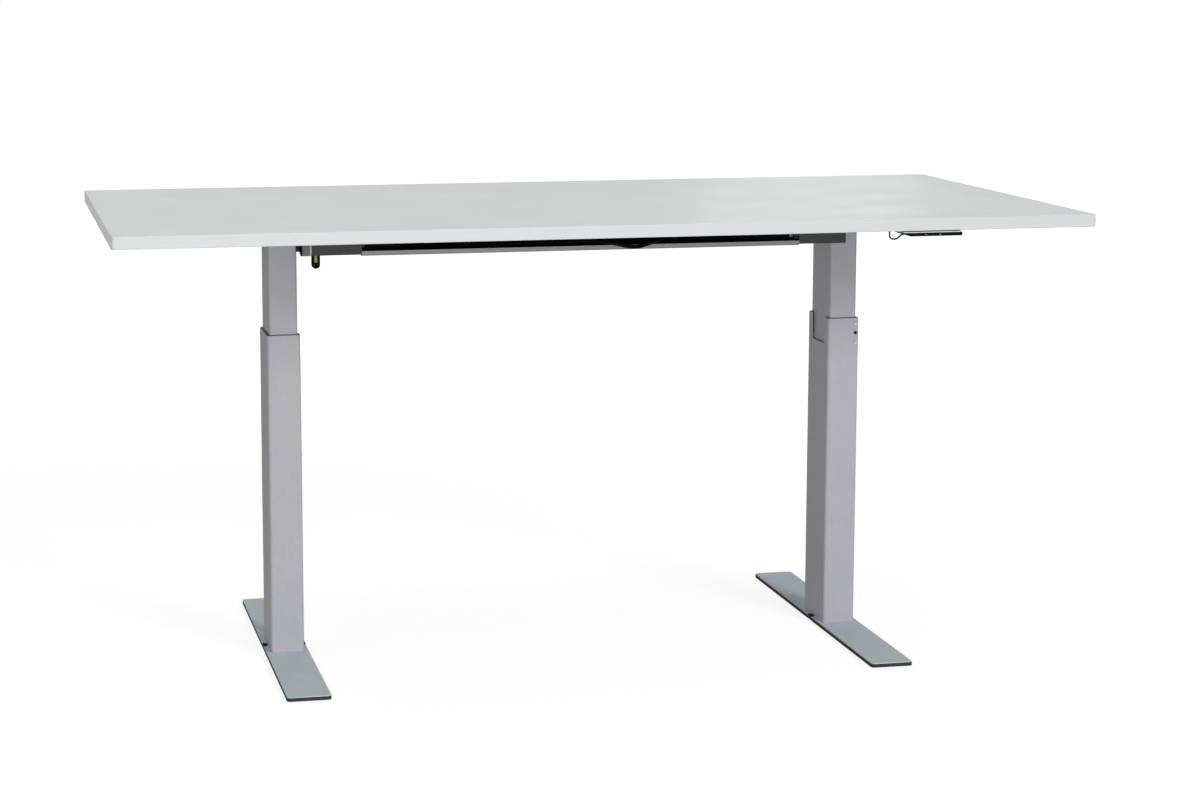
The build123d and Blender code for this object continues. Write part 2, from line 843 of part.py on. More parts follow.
with BuildPart() as handset_body:
    with BuildSketch(Plane.XZ.offset(-handset_back)):
        with BuildLine():
            Polyline(
                (handset_left, handset_z),
                (handset_right, handset_z),
                (handset_right, handset_bottom),
                (handset_left + handset_taper_run, handset_bottom),
                (handset_left, handset_bottom + handset_taper_rise),
                close=True,
            )
        make_face()
    extrude(amount=handset_depth)
    chamfer(handset_body.faces().sort_by(Axis.Z)[0].edges().filter_by(Axis.X), handset_edge_chamfer)
    with BuildSketch(Plane.XZ.offset(-handset_front)):
        with Locations(*key_places):
            RectangleRounded(
                key_width + 2 * key_clearance,
                key_height + 2 * key_clearance,
                key_corner_radius + key_clearance,
            )
    extrude(amount=-key_pocket_depth, mode=Mode.SUBTRACT)
    with BuildSketch(Plane.YZ.offset(handset_left)):
        with Locations((outlet_y, outlet_z)):
            Circle(handset_lead_radius + handset_lead_clearance)
    extrude(amount=handset_outlet_depth, mode=Mode.SUBTRACT)
save(handset_body.part, "handset_body")

for key_name, key_place in zip(("down_key", "up_key"), key_places):
    with BuildPart() as key:
        with BuildSketch(Plane.XZ.offset(key_proud - handset_front)):
            with Locations(key_place):
                RectangleRounded(key_width, key_height, key_corner_radius)
        extrude(amount=-key_proud - key_depth)
        chamfer(key.faces().sort_by(Axis.Y)[0].edges(), key_edge_chamfer)
    save(key.part, key_name)

# Handset lead and the two saddle clips that hold it under the desktop
with BuildPart() as handset_lead:
    lead(handset_lead_points, handset_lead_radius)
save(handset_lead.part, "handset_lead")

clip_places = (
    ("front_lead_clip", (handset_left - front_clip_run, run_y, underside), (1, 0, 0)),
    ("rear_lead_clip", (plug_x, rail_front - rear_clip_run, underside), (0, 1, 0)),
)
for clip_name, clip_place, along in clip_places:
    across = Vector(*along).cross(Vector(0, 0, 1))
    with BuildPart() as lead_clip:
        with BuildSketch(Plane(origin=clip_place, x_dir=across, z_dir=along)) as saddle:
            with Locations((0, clip_height / 2)):
                Rectangle(clip_width, clip_height)
            fillet(saddle.vertices().group_by(Axis.Y)[-1], clip_corner_radius)
            with Locations((0, underside - run_z)):
                Circle(handset_lead_radius + handset_lead_clearance, mode=Mode.SUBTRACT)
        extrude(amount=clip_length / 2, both=True)
    save(lead_clip.part, clip_name)
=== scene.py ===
"""The looks of a height adjustable standing desk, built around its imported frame."""

import json
import logging
import math
from collections.abc import Callable, Iterable, Iterator, Sequence
from contextlib import contextmanager
from dataclasses import dataclass
from enum import Enum

import bpy
from bpy.types import Material, Node, NodeSocket, NodeTree, Object
from mathutils import Matrix, Vector


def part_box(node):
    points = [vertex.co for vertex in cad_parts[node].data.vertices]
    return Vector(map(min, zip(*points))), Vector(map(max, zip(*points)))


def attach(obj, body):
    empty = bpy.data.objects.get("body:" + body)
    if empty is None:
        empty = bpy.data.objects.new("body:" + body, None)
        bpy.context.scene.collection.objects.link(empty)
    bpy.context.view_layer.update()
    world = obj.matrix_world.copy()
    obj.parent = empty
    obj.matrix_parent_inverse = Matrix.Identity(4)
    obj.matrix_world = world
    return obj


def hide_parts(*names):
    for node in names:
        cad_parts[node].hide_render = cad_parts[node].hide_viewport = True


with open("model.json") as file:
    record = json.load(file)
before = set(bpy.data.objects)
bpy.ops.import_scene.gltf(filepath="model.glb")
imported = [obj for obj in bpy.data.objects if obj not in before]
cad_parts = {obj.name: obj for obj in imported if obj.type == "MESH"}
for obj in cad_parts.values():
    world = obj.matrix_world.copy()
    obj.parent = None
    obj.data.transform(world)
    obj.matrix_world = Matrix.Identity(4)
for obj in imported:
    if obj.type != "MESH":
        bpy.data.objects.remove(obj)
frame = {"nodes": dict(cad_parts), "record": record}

LOG = logging.getLogger("desk")
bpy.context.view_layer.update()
MM = 0.001
IMAGE_WIDTH = 1200
IMAGE_HEIGHT = 800

Colour = tuple[float, float, float, float]
Settings = dict[str | int, object]
Links = dict[str | int, NodeSocket]
Pair = tuple[float, float]
Spot = tuple[float, float, float]
FaceTest = Callable[[Vector, Vector], bool]

CENTRE: Spot = (0.0, 0.0, 0.0)
UP: Spot = (0.0, 0.0, 1.0)
DOWN: Spot = (0.0, 0.0, -1.0)
FORWARD: Spot = (0.0, -1.0, 0.0)
REARWARD: Spot = (0.0, 1.0, 0.0)
RIGHTWARD: Spot = (1.0, 0.0, 0.0)

# A face looks along an axis when this much of its normal lies along it.
FACING = 0.99
# Two heights this near to each other, in metres, are the same.
TOUCH = 1e-7
SHARP_ANGLE = math.radians(40)
SMOOTH_ANGLE = math.radians(35)
ROUND_SIDES = 32
HEX_SIDES = 6

# Noise keeps mostly between these two values.
NOISE_LOW, NOISE_HIGH = 0.25, 0.75
PATCH_NOISE = {"Detail": 3.0, "Roughness": 0.55}
GRAIN_NOISE = {"Detail": 2.0, "Roughness": 0.5}
# The numbers of a Mix node's inputs and outputs.
MIX_SHARE, FLOAT_A, FLOAT_B, COLOUR_A, COLOUR_B = 0, 2, 3, 6, 7
FLOAT_RESULT, COLOUR_RESULT = 0, 2


def linear(hex_colour: str, lift: float = 0.0) -> Colour:
    """Turns an sRGB hex colour into the linear colour that a shader takes.

    Args:
        hex_colour: Six hex digits after a hash sign.
        lift: The share by which the linear colour is made lighter, or darker below zero.

    Returns:
        Red, green, blue and an alpha of one.
    """
    parts = (int(hex_colour[at : at + 2], 16) / 255 for at in (1, 3, 5))
    values = (p / 12.92 if p <= 0.04045 else ((p + 0.055) / 1.055) ** 2.4 for p in parts)
    red, green, blue = (min(1.0, value * (1 + lift)) for value in values)
    return red, green, blue, 1.0


def add_node(tree: NodeTree, kind: str, settings: Settings, links: Links) -> Node:
    """Adds one node to a tree.

    Args:
        tree: The node tree of a material or the world.
        kind: The node's type, such as ShaderNodeTexNoise.
        settings: Values for the node's properties, or for its inputs by name or number.
        links: The output socket that feeds each input, by the input's name or number.

    Returns:
        The new node.
    """
    node = tree.nodes.new(kind)
    for name, value in settings.items():
        if isinstance(name, int) or name in node.inputs:
            node.inputs[name].default_value = value
        else:
            setattr(node, name, value)
    for name, source in links.items():
        tree.links.new(source, node.inputs[name])
    return node


class Grain(Enum):
    """How a surface was made, as the stretch of its fine pattern along X, Y and Z."""

    MOULDED = (1.0, 1.0, 1.0)
    ROLLED_ALONG_X = (0.04, 1.0, 1.0)


@dataclass(frozen=True)
class Finish:
    """A surface, from what it is made of and how it was made.

    The colour drifts by mottle over patches of mottle_mm, sparkle is the share of that drift that
    follows the fine grain instead, and grain_mm and grain_depth_mm give the fine relief. The rim
    colour tints the gloss, and the painted shade colour is painted over a region that a subclass
    picks, as painted shade.
    """

    name: str
    colour: str
    roughness: float
    metallic: float = 0.0
    specular: float = 0.5
    rim: str = "#FFFFFF"
    coat: float = 0.0
    coat_roughness: float = 0.1
    mottle: float = 0.03
    mottle_mm: float = 80.0
    sparkle: float = 0.0
    grain: Grain = Grain.MOULDED
    grain_mm: float = 3.0
    grain_depth_mm: float = 0.02
    roughness_drift: float = 0.04
    painted_shade_colour: str = "#000000"

    def painted_shade_region(self, tree: NodeTree, place: NodeSocket) -> NodeSocket | None:
        """Adds a test for where the painted shade colour shows, or none where no shade is painted.
        """
        return None

    def colour_socket(self, tree: NodeTree, place: NodeSocket, drift: NodeSocket) -> NodeSocket:
        """Adds the nodes that colour the surface.

        Args:
            tree: The material's node tree.
            place: The Object coordinates.
            drift: A pattern from zero to one.

        Returns:
            The socket with the colour.
        """
        shades = add_node(tree, "ShaderNodeValToRGB", {}, {"Fac": drift})
        dark, light = shades.color_ramp.elements
        dark.position = NOISE_LOW
        dark.color = linear(self.colour, -self.mottle)
        light.position = NOISE_HIGH
        light.color = linear(self.colour, self.mottle)
        # Subclasses paint shade here: the painted shade colour is mixed in over their region.
        painted_shade_region = self.painted_shade_region(tree, place)
        if painted_shade_region is None:
            return shades.outputs["Color"]
        mix = add_node(
            tree,
            "ShaderNodeMix",
            {"data_type": "RGBA", COLOUR_B: linear(self.painted_shade_colour)},
            {MIX_SHARE: painted_shade_region, COLOUR_A: shades.outputs["Color"]},
        )
        return mix.outputs[COLOUR_RESULT]

    def build(self) -> Material:
        """Makes the material.

        Returns:
            A material whose nodes read Object coordinates.
        """
        material = bpy.data.materials.new(self.name)
        material.use_nodes = True
        tree = material.node_tree
        tree.nodes.clear()
        place = add_node(tree, "ShaderNodeTexCoord", {}, {}).outputs["Object"]
        stretched = add_node(
            tree, "ShaderNodeMapping", {"Scale": self.grain.value}, {"Vector": place}
        )
        patches = add_node(
            tree,
            "ShaderNodeTexNoise",
            {"Scale": 1 / (self.mottle_mm * MM), **PATCH_NOISE},
            {"Vector": place},
        ).outputs["Fac"]
        fine = add_node(
            tree,
            "ShaderNodeTexNoise",
            {"Scale": 1 / (self.grain_mm * MM), **GRAIN_NOISE},
            {"Vector": stretched.outputs["Vector"]},
        ).outputs["Fac"]
        drift = add_node(
            tree,
            "ShaderNodeMix",
            {"data_type": "FLOAT", "Factor": self.sparkle},
            {FLOAT_A: patches, FLOAT_B: fine},
        ).outputs[FLOAT_RESULT]
        gloss = add_node(
            tree,
            "ShaderNodeMapRange",
            {
                "From Min": NOISE_LOW,
                "From Max": NOISE_HIGH,
                "To Min": self.roughness - self.roughness_drift,
                "To Max": self.roughness + self.roughness_drift,
            },
            {"Value": patches},
        )
        relief = add_node(
            tree, "ShaderNodeBump", {"Distance": self.grain_depth_mm * MM}, {"Height": fine}
        )
        shader = add_node(
            tree,
            "ShaderNodeBsdfPrincipled",
            {
                "Metallic": self.metallic,
                "Specular IOR Level": self.specular,
                "Specular Tint": linear(self.rim),
                "Coat Weight": self.coat,
                "Coat Roughness": self.coat_roughness,
            },
            {
                "Base Color": self.colour_socket(tree, place, drift),
                "Roughness": gloss.outputs["Result"],
                "Normal": relief.outputs["Normal"],
            },
        )
        add_node(tree, "ShaderNodeOutputMaterial", {}, {"Surface": shader.outputs["BSDF"]})
        return material


@dataclass(frozen=True)
class SideShadedPlate(Finish):
    """A painted plate whose upright sides are painted darker than its level faces, as painted
    shade.

    A face is a side where the upright part of its normal is below side_tilt.
    """

    side_tilt: float = 0.5

    def painted_shade_region(self, tree: NodeTree, place: NodeSocket) -> NodeSocket:
        """Adds a test for the upright sides, which are painted dark as shade.

        Args:
            tree: The material's node tree.
            place: The Object coordinates, which are not used.

        Returns:
            A socket that is one on the sides.
        """
        normal = add_node(tree, "ShaderNodeNewGeometry", {}, {}).outputs["Normal"]
        parts = add_node(tree, "ShaderNodeSeparateXYZ", {}, {"Vector": normal})
        level = add_node(tree, "ShaderNodeMath", {"operation": "ABSOLUTE"}, {0: parts.outputs["Z"]})
        side = add_node(
            tree,
            "ShaderNodeMath",
            {"operation": "LESS_THAN", 1: self.side_tilt},
            {0: level.outputs[0]},
        )
        return side.outputs[0]


@dataclass(frozen=True)
class RecessShadedPaint(Finish):
    """Paint with one region of the parts that wear it painted dark, as painted shade in a recess.

    The region lies within a span of distances from the desk's middle, one of distances before or
    behind the columns' axis at axis_y_mm, and one of heights.
    """

    axis_y_mm: float = 20.0
    across_mm: Pair = (0.0, 1000.0)
    reach_mm: Pair = (0.0, 1000.0)
    height_mm: Pair = (0.0, 2000.0)

    def within(
        self, tree: NodeTree, value: NodeSocket, middle_mm: float, span_mm: Pair
    ) -> NodeSocket:
        """Adds a test for a place whose distance from a middle lies in a span.

        Args:
            tree: The material's node tree.
            value: One coordinate of the place, in metres.
            middle_mm: The middle, on the same coordinate.
            span_mm: The nearest and the farthest distance.

        Returns:
            A socket that is one inside the span.
        """
        near, far = (edge * MM for edge in span_mm)
        offset = add_node(
            tree, "ShaderNodeMath", {"operation": "SUBTRACT", 1: middle_mm * MM}, {0: value}
        )
        distance = add_node(
            tree, "ShaderNodeMath", {"operation": "ABSOLUTE"}, {0: offset.outputs[0]}
        )
        test = add_node(
            tree,
            "ShaderNodeMath",
            {"operation": "COMPARE", 1: (near + far) / 2, 2: (far - near) / 2},
            {0: distance.outputs[0]},
        )
        return test.outputs[0]

    def painted_shade_region(self, tree: NodeTree, place: NodeSocket) -> NodeSocket:
        """Adds a test for the region of painted shade.

        Args:
            tree: The material's node tree.
            place: The Object coordinates.

        Returns:
            A socket that is one in the region.
        """
        parts = add_node(tree, "ShaderNodeSeparateXYZ", {}, {"Vector": place}).outputs
        region = self.within(tree, parts["X"], 0.0, self.across_mm)
        spans = (("Y", self.axis_y_mm, self.reach_mm), ("Z", 0.0, self.height_mm))
        for axis, middle, span in spans:
            links = {0: region, 1: self.within(tree, parts[axis], middle, span)}
            region = add_node(tree, "ShaderNodeMath", {"operation": "MULTIPLY"}, links).outputs[0]
        return region


# One finish for each material slot of the desk.
FINISHES: dict[str, Finish] = {
    # Melamine laminate pressed on board: pale grey and satin, with a faint pearl relief.
    # The real relief is about 0.5 mm across, and is drawn at 3 mm so that it shows.
    "desktop_laminate": Finish(
        "melamine_laminate", "#D2D6D4", 0.34, specular=0.28, mottle=0.035, mottle_mm=120.0,
        sparkle=0.8, grain_depth_mm=0.06,
    ),
    # Extruded ABS edging: a more neutral grey, with faint draw lines along its length.
    "edge_band": Finish(
        "abs_edging", "#CED0D2", 0.42, mottle=0.01, grain=Grain.ROLLED_ALONG_X, grain_mm=1.5,
        grain_depth_mm=0.01,
    ),
    # Silver powder coat on steel: metal flecks in a satin film with slight orange peel.
    # The flecks are about 0.1 mm across, and are drawn at 2.5 mm so that they show.
    "silver_paint": Finish(
        "silver_powder_coat", "#B5B5B9", 0.5, metallic=0.2, specular=0.05, rim="#77776F",
        mottle=0.1, mottle_mm=60.0, sparkle=0.65, grain_mm=2.5, grain_depth_mm=0.09,
    ),
    # Blue grey enamel on the foot plates: a hard gloss film, with painted shade on the upright
    # sides.
    "foot_enamel": SideShadedPlate(
        "blue_grey_enamel", "#C4D0D6", 0.3, specular=0.0, coat=0.1, mottle=0.06, mottle_mm=90.0,
        sparkle=0.4, grain_mm=4.0, grain_depth_mm=0.04, painted_shade_colour="#3C3D3E",
    ),
    # Silver powder coat on the rails, with the inside of their channels painted near black as
    # painted shade.
    "rail_paint": RecessShadedPaint(
        "silver_powder_coat_over_primer", "#9E9E9F", 0.5, metallic=0.2, specular=0.05,
        rim="#77776F", mottle=0.1, mottle_mm=60.0, sparkle=0.65, grain_mm=2.5, grain_depth_mm=0.09,
        painted_shade_colour="#0B0B0A", reach_mm=(140.6, 178.4), height_mm=(789.2, 836.3),
    ),
    # Dark grey powder coat on the rail ends: satin, with slight orange peel drawn at 3 mm.
    # Their tongues slide in the rails and are painted near black, as the shade inside the channels.
    "graphite_paint": RecessShadedPaint(
        "graphite_powder_coat_over_primer", "#4D4D4C", 0.5, specular=0.1, mottle=0.06,
        mottle_mm=40.0, sparkle=0.3, grain_depth_mm=0.05, painted_shade_colour="#0B0B0A",
        across_mm=(0.0, 423.2),
    ),
    # Zinc plated steel: a bright, slightly blue metal with fine drawing marks.
    "plain_steel": Finish(
        "zinc_plated_steel", "#C3C6CA", 0.28, metallic=1.0, mottle=0.06, mottle_mm=12.0,
        grain_mm=0.8,
    ),
    # Polyacetal glides: black, smooth and slightly waxy.
    "glide_plastic": Finish(
        "black_polyacetal", "#1B1B1C", 0.38, specular=0.3, grain_mm=1.5, mottle=0.1, mottle_mm=20.0,
    ),
    # Moulded rubber pads: dull black with a coarse skin.
    "foot_rubber": Finish(
        "moulded_rubber", "#161616", 0.8, specular=0.2, grain_mm=1.5, grain_depth_mm=0.08,
        mottle=0.15, mottle_mm=15.0,
    ),
    # Die cast aluminium under thin black paint: the grained skin of the mould shows through.
    "cast_aluminium": Finish(
        "painted_die_cast_aluminium", "#1C1C1D", 0.42, specular=0.3, grain_mm=1.8,
        grain_depth_mm=0.06, mottle=0.08, mottle_mm=18.0,
    ),
    # Black enamel on the motor cans: smooth with a soft gloss.
    "motor_black": Finish(
        "black_enamel", "#18181A", 0.3, specular=0.35, grain_mm=4.0, mottle=0.1, mottle_mm=30.0,
    ),
    # Black ABS housings: spark eroded mould grain, drawn at 1.2 mm so that it shows.
    "black_plastic": Finish(
        "black_abs", "#0C0C0D", 0.5, specular=0.06, grain_mm=1.2, grain_depth_mm=0.05, mottle=0.08,
        mottle_mm=25.0,
    ),
    # Soft PVC jackets on the leads: black with a dull shine.
    "lead_jacket": Finish(
        "pvc_jacket", "#080809", 0.45, specular=0.06, grain_mm=2.0, mottle=0.1, mottle_mm=30.0,
    ),
    # The handset's trim: pale satin plastic.
    "pale_plastic": Finish(
        "pale_abs_trim", "#C9CBCB", 0.3, grain_mm=1.5, mottle=0.03, mottle_mm=30.0,
    ),
    # The connector: tan polyamide with a faint bloom.
    "tan_plastic": Finish(
        "tan_polyamide", "#A2855F", 0.5, grain_mm=1.0, mottle=0.08, mottle_mm=6.0,
    ),
}


@dataclass(frozen=True)
class Copy:
    """One place of a repeated piece, in metres, and what the piece is there."""

    name: str
    spot: Sequence[float]
    axis: Spot
    slot: str
    body: str = "top"
    spin: float = 0.0
    replaced: tuple[str, ...] = ()


class Fitter:
    """Builds each finish once, dresses the pieces with them and fits the pieces to their bodies."""

    def __init__(self) -> None:
        """Starts with no materials made."""
        self.made: dict[str, Material] = {}

    def dress(self, piece: Object, slot: str) -> None:
        """Gives a piece the one material of a slot.

        Args:
            piece: A mesh object.
            slot: A material slot of the record.
        """
        if slot not in self.made:
            self.made[slot] = FINISHES[slot].build()
        piece.data.materials.clear()
        piece.data.materials.append(self.made[slot])

    def dress_nodes(self) -> None:
        """Gives every node of the frame the finish of its slot."""
        for part in frame["record"]["subparts"]:
            self.dress(frame["nodes"][part["node"]], part["material_slot"])

    def fit(self, piece: Object, body: str, slot: str, *replaced: str) -> None:
        """Dresses a new piece and makes it move with a body.

        Args:
            piece: The new piece, in place.
            body: The body that carries it.
            slot: The material slot of its finish.
            replaced: The nodes that the piece stands for.
        """
        self.dress(piece, slot)
        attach(piece, body)
        if replaced:
            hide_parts(*replaced)
        LOG.info("%s in %s rides on %s", piece.name, slot, body)


def facing(axis: Spot) -> FaceTest:
    """Makes a test for faces that look along an axis, which has a length of one."""
    return lambda middle, normal: normal.dot(Vector(axis)) > FACING


def every_face(middle: Vector, normal: Vector) -> bool:
    """Takes any face."""
    return True


@contextmanager
def edit(piece: Object, wanted: FaceTest) -> Iterator[None]:
    """Opens a piece in edit mode with only the wanted faces selected.

    Args:
        piece: The piece to edit.
        wanted: A test of a face's middle and its normal.

    Returns:
        A context in which operators act on those faces.
    """
    bpy.context.view_layer.objects.active = piece
    bpy.ops.object.mode_set(mode="EDIT")
    bpy.ops.mesh.select_mode(type="FACE")
    bpy.ops.mesh.select_all(action="DESELECT")
    bpy.ops.object.mode_set(mode="OBJECT")
    for face in piece.data.polygons:
        face.select = wanted(face.center, face.normal)
    bpy.ops.object.mode_set(mode="EDIT")
    yield
    bpy.ops.object.mode_set(mode="OBJECT")


def begin(name: str, add: Callable[..., set[str]], **sizes: object) -> Object:
    """Starts a piece from a primitive.

    Args:
        name: The piece's name.
        add: The operator that adds the primitive.
        sizes: The operator's settings.

    Returns:
        The new piece, at the origin with its place in its mesh.
    """
    bpy.ops.object.select_all(action="DESELECT")
    add(**sizes)
    bpy.ops.object.transform_apply(location=True, rotation=True, scale=True)
    piece = bpy.context.object
    piece.name = name
    piece.data.name = name
    return piece


def rod(
    name: str, radius: float, height: float, middle: float = 0.0, sides: int = ROUND_SIDES
) -> Object:
    """Starts a piece from a cylinder about the Z axis, in millimetres.

    Args:
        name: The piece's name.
        radius: The cylinder's radius.
        height: Its height.
        middle: The height of its middle.
        sides: The number of its sides.

    Returns:
        The new piece.
    """
    return begin(
        name,
        bpy.ops.mesh.primitive_cylinder_add,
        vertices=sides,
        radius=radius * MM,
        depth=height * MM,
        location=(0.0, 0.0, middle * MM),
    )


def block(name: str, size: Spot, middle: Spot = CENTRE) -> Object:
    """Starts a piece from a cuboid of a size about its middle, in millimetres."""
    place = tuple(part * MM for part in middle)
    return begin(name, bpy.ops.mesh.primitive_cube_add, size=MM, scale=size, location=place)


def grow(piece: Object, rings: Sequence[Pair]) -> None:
    """Extrudes a piece from its upper face, ring by ring, about the Z axis.

    Args:
        piece: A piece with one level face at its top.
        rings: The rise of each ring in millimetres, and its width as a share of the last one's.
    """
    top = max(point.co.z for point in piece.data.vertices)
    level = facing(UP)
    with edit(piece, lambda middle, normal: level(middle, normal) and middle.z > top - TOUCH):
        for rise, width in rings:
            bpy.ops.mesh.extrude_region_move(
                TRANSFORM_OT_translate={"value": (0.0, 0.0, rise * MM)}
            )
            bpy.ops.transform.resize(value=(width, width, 1.0), center_override=CENTRE)


def cut(piece: Object, cutter: Object) -> None:
    """Takes a cutter's shape out of a piece and removes the cutter.

    Args:
        piece: The piece that is cut.
        cutter: A closed mesh.
    """
    bpy.context.view_layer.objects.active = piece
    modifier = piece.modifiers.new("cut", "BOOLEAN")
    modifier.operation = "DIFFERENCE"
    modifier.solver = "EXACT"
    modifier.object = cutter
    bpy.ops.object.modifier_apply(modifier=modifier.name)
    bpy.data.objects.remove(cutter)


def soften(piece: Object, width: float, segments: int = 2) -> None:
    """Rounds a piece's sharp edges.

    Args:
        piece: The piece.
        width: The width of the rounding, in millimetres.
        segments: The number of faces across it.
    """
    bpy.context.view_layer.objects.active = piece
    modifier = piece.modifiers.new("soften", "BEVEL")
    modifier.width = width * MM
    modifier.segments = segments
    modifier.limit_method = "ANGLE"
    modifier.angle_limit = SHARP_ANGLE
    bpy.ops.object.modifier_apply(modifier=modifier.name)


def smooth(piece: Object) -> None:
    """Shades a piece smoothly across its shallow edges.

    Args:
        piece: The piece.
    """
    bpy.ops.object.select_all(action="DESELECT")
    piece.select_set(True)
    bpy.context.view_layer.objects.active = piece
    bpy.ops.object.shade_smooth_by_angle(angle=SMOOTH_ANGLE)


def copy_to(model: Object, name: str, place: Vector, axis: Spot, spin: float) -> Object:
    """Copies a model that was made about the Z axis to its place.

    Args:
        model: The model at the origin.
        name: The copy's name.
        place: Where the model's origin goes.
        axis: The direction that the model's Z axis takes.
        spin: A turn about the model's own axis, in radians.

    Returns:
        The copy, with its own mesh.
    """
    turn = Vector(UP).rotation_difference(Vector(axis)).to_matrix().to_4x4()
    mesh = model.data.copy()
    mesh.name = name
    mesh.transform(Matrix.Translation(place) @ turn @ Matrix.Rotation(spin, 4, "Z"))
    piece = bpy.data.objects.new(name, mesh)
    bpy.context.scene.collection.objects.link(piece)
    return piece


def face_middle(node: str, axis: Spot) -> Vector:
    """Finds the middle of one face of a node's box.

    Args:
        node: The node.
        axis: The direction in which the face looks.

    Returns:
        The middle, in metres.
    """
    low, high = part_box(node)
    ends = zip(axis, low, high)
    return Vector([b if part > 0 else a if part < 0 else (a + b) / 2 for part, a, b in ends])


class Drive(Enum):
    """The recess in a screw's head."""

    HEX_SOCKET = "hex socket"
    CROSS = "cross"


@dataclass(frozen=True)
class Screw:
    """A screw made about the Z axis, with the top of its head at the origin, in millimetres.

    The slots of a cross are cross_share of the drive's radius wide.
    """

    head_radius: float
    head_height: float
    shank_radius: float
    shank_length: float
    drive: Drive
    drive_radius: float
    drive_depth: float
    countersunk: bool = False
    crown: float = 0.6
    cross_share: float = 0.34

    def drive_cutter(self) -> Object:
        """Models the shape that is cut out of the head.

        Returns:
            A closed mesh about the Z axis.
        """
        depth = 2 * self.drive_depth
        if self.drive is Drive.HEX_SOCKET:
            return rod("drive", self.drive_radius, depth, sides=HEX_SIDES)
        slot = self.cross_share * self.drive_radius
        cross = block("drive", (slot, slot, depth))
        with edit(cross, lambda middle, normal: abs(normal.z) < FACING):
            bpy.ops.mesh.extrude_faces_move(
                TRANSFORM_OT_shrink_fatten={"value": (self.drive_radius - slot / 2) * MM}
            )
        return cross

    def build(self) -> Object:
        """Models the screw.

        Returns:
            The screw, to be copied to each place.
        """
        middle = -(self.head_height + self.shank_length / 2)
        piece = rod("screw", self.shank_radius, self.shank_length, middle)
        flare = self.head_radius / self.shank_radius
        side = self.head_height - self.crown
        if self.countersunk:
            grow(piece, ((side, flare), (self.crown, 1.0)))
        else:
            shrink = (self.head_radius - self.crown) / self.head_radius
            grow(piece, ((0.0, flare), (side, 1.0), (self.crown, shrink)))
        cut(piece, self.drive_cutter())
        smooth(piece)
        return piece


class Side(Enum):
    """A leg of the desk, as the sign of its X."""

    LEFT = -1
    RIGHT = 1

    @property
    def word(self) -> str:
        """The side's name in the names of nodes and bodies."""
        return self.name.lower()

    @property
    def leg(self) -> str:
        """The body of the side's leg."""
        return f"{self.word}_leg"


@dataclass(frozen=True)
class Details:
    """A sub-assembly, with the fitter that dresses and fits its pieces."""

    fitter: Fitter

    def set_out(self, model: Object, copies: Iterable[Copy]) -> None:
        """Fits copies of a model in their places and removes the model.

        Args:
            model: The model, made about the Z axis at the origin.
            copies: The places.
        """
        for copy in copies:
            piece = copy_to(model, copy.name, Vector(copy.spot), copy.axis, copy.spin)
            self.fitter.fit(piece, copy.body, copy.slot, *copy.replaced)
        bpy.data.objects.remove(model)

    def swap_screws(self, screw: Screw, nodes: Sequence[str], ending: str, body: str) -> None:
        """Puts detailed screws in place of plain ones that are driven in from below.

        Args:
            screw: The detailed screw.
            nodes: The plain screws.
            ending: What the new names have after the nodes' names.
            body: The body that carries the screws.
        """
        copies = []
        for node in nodes:
            spot, name = face_middle(node, DOWN), f"{node}_{ending}"
            copies.append(Copy(name, spot, DOWN, "plain_steel", body, replaced=(node,)))
        self.set_out(screw.build(), copies)


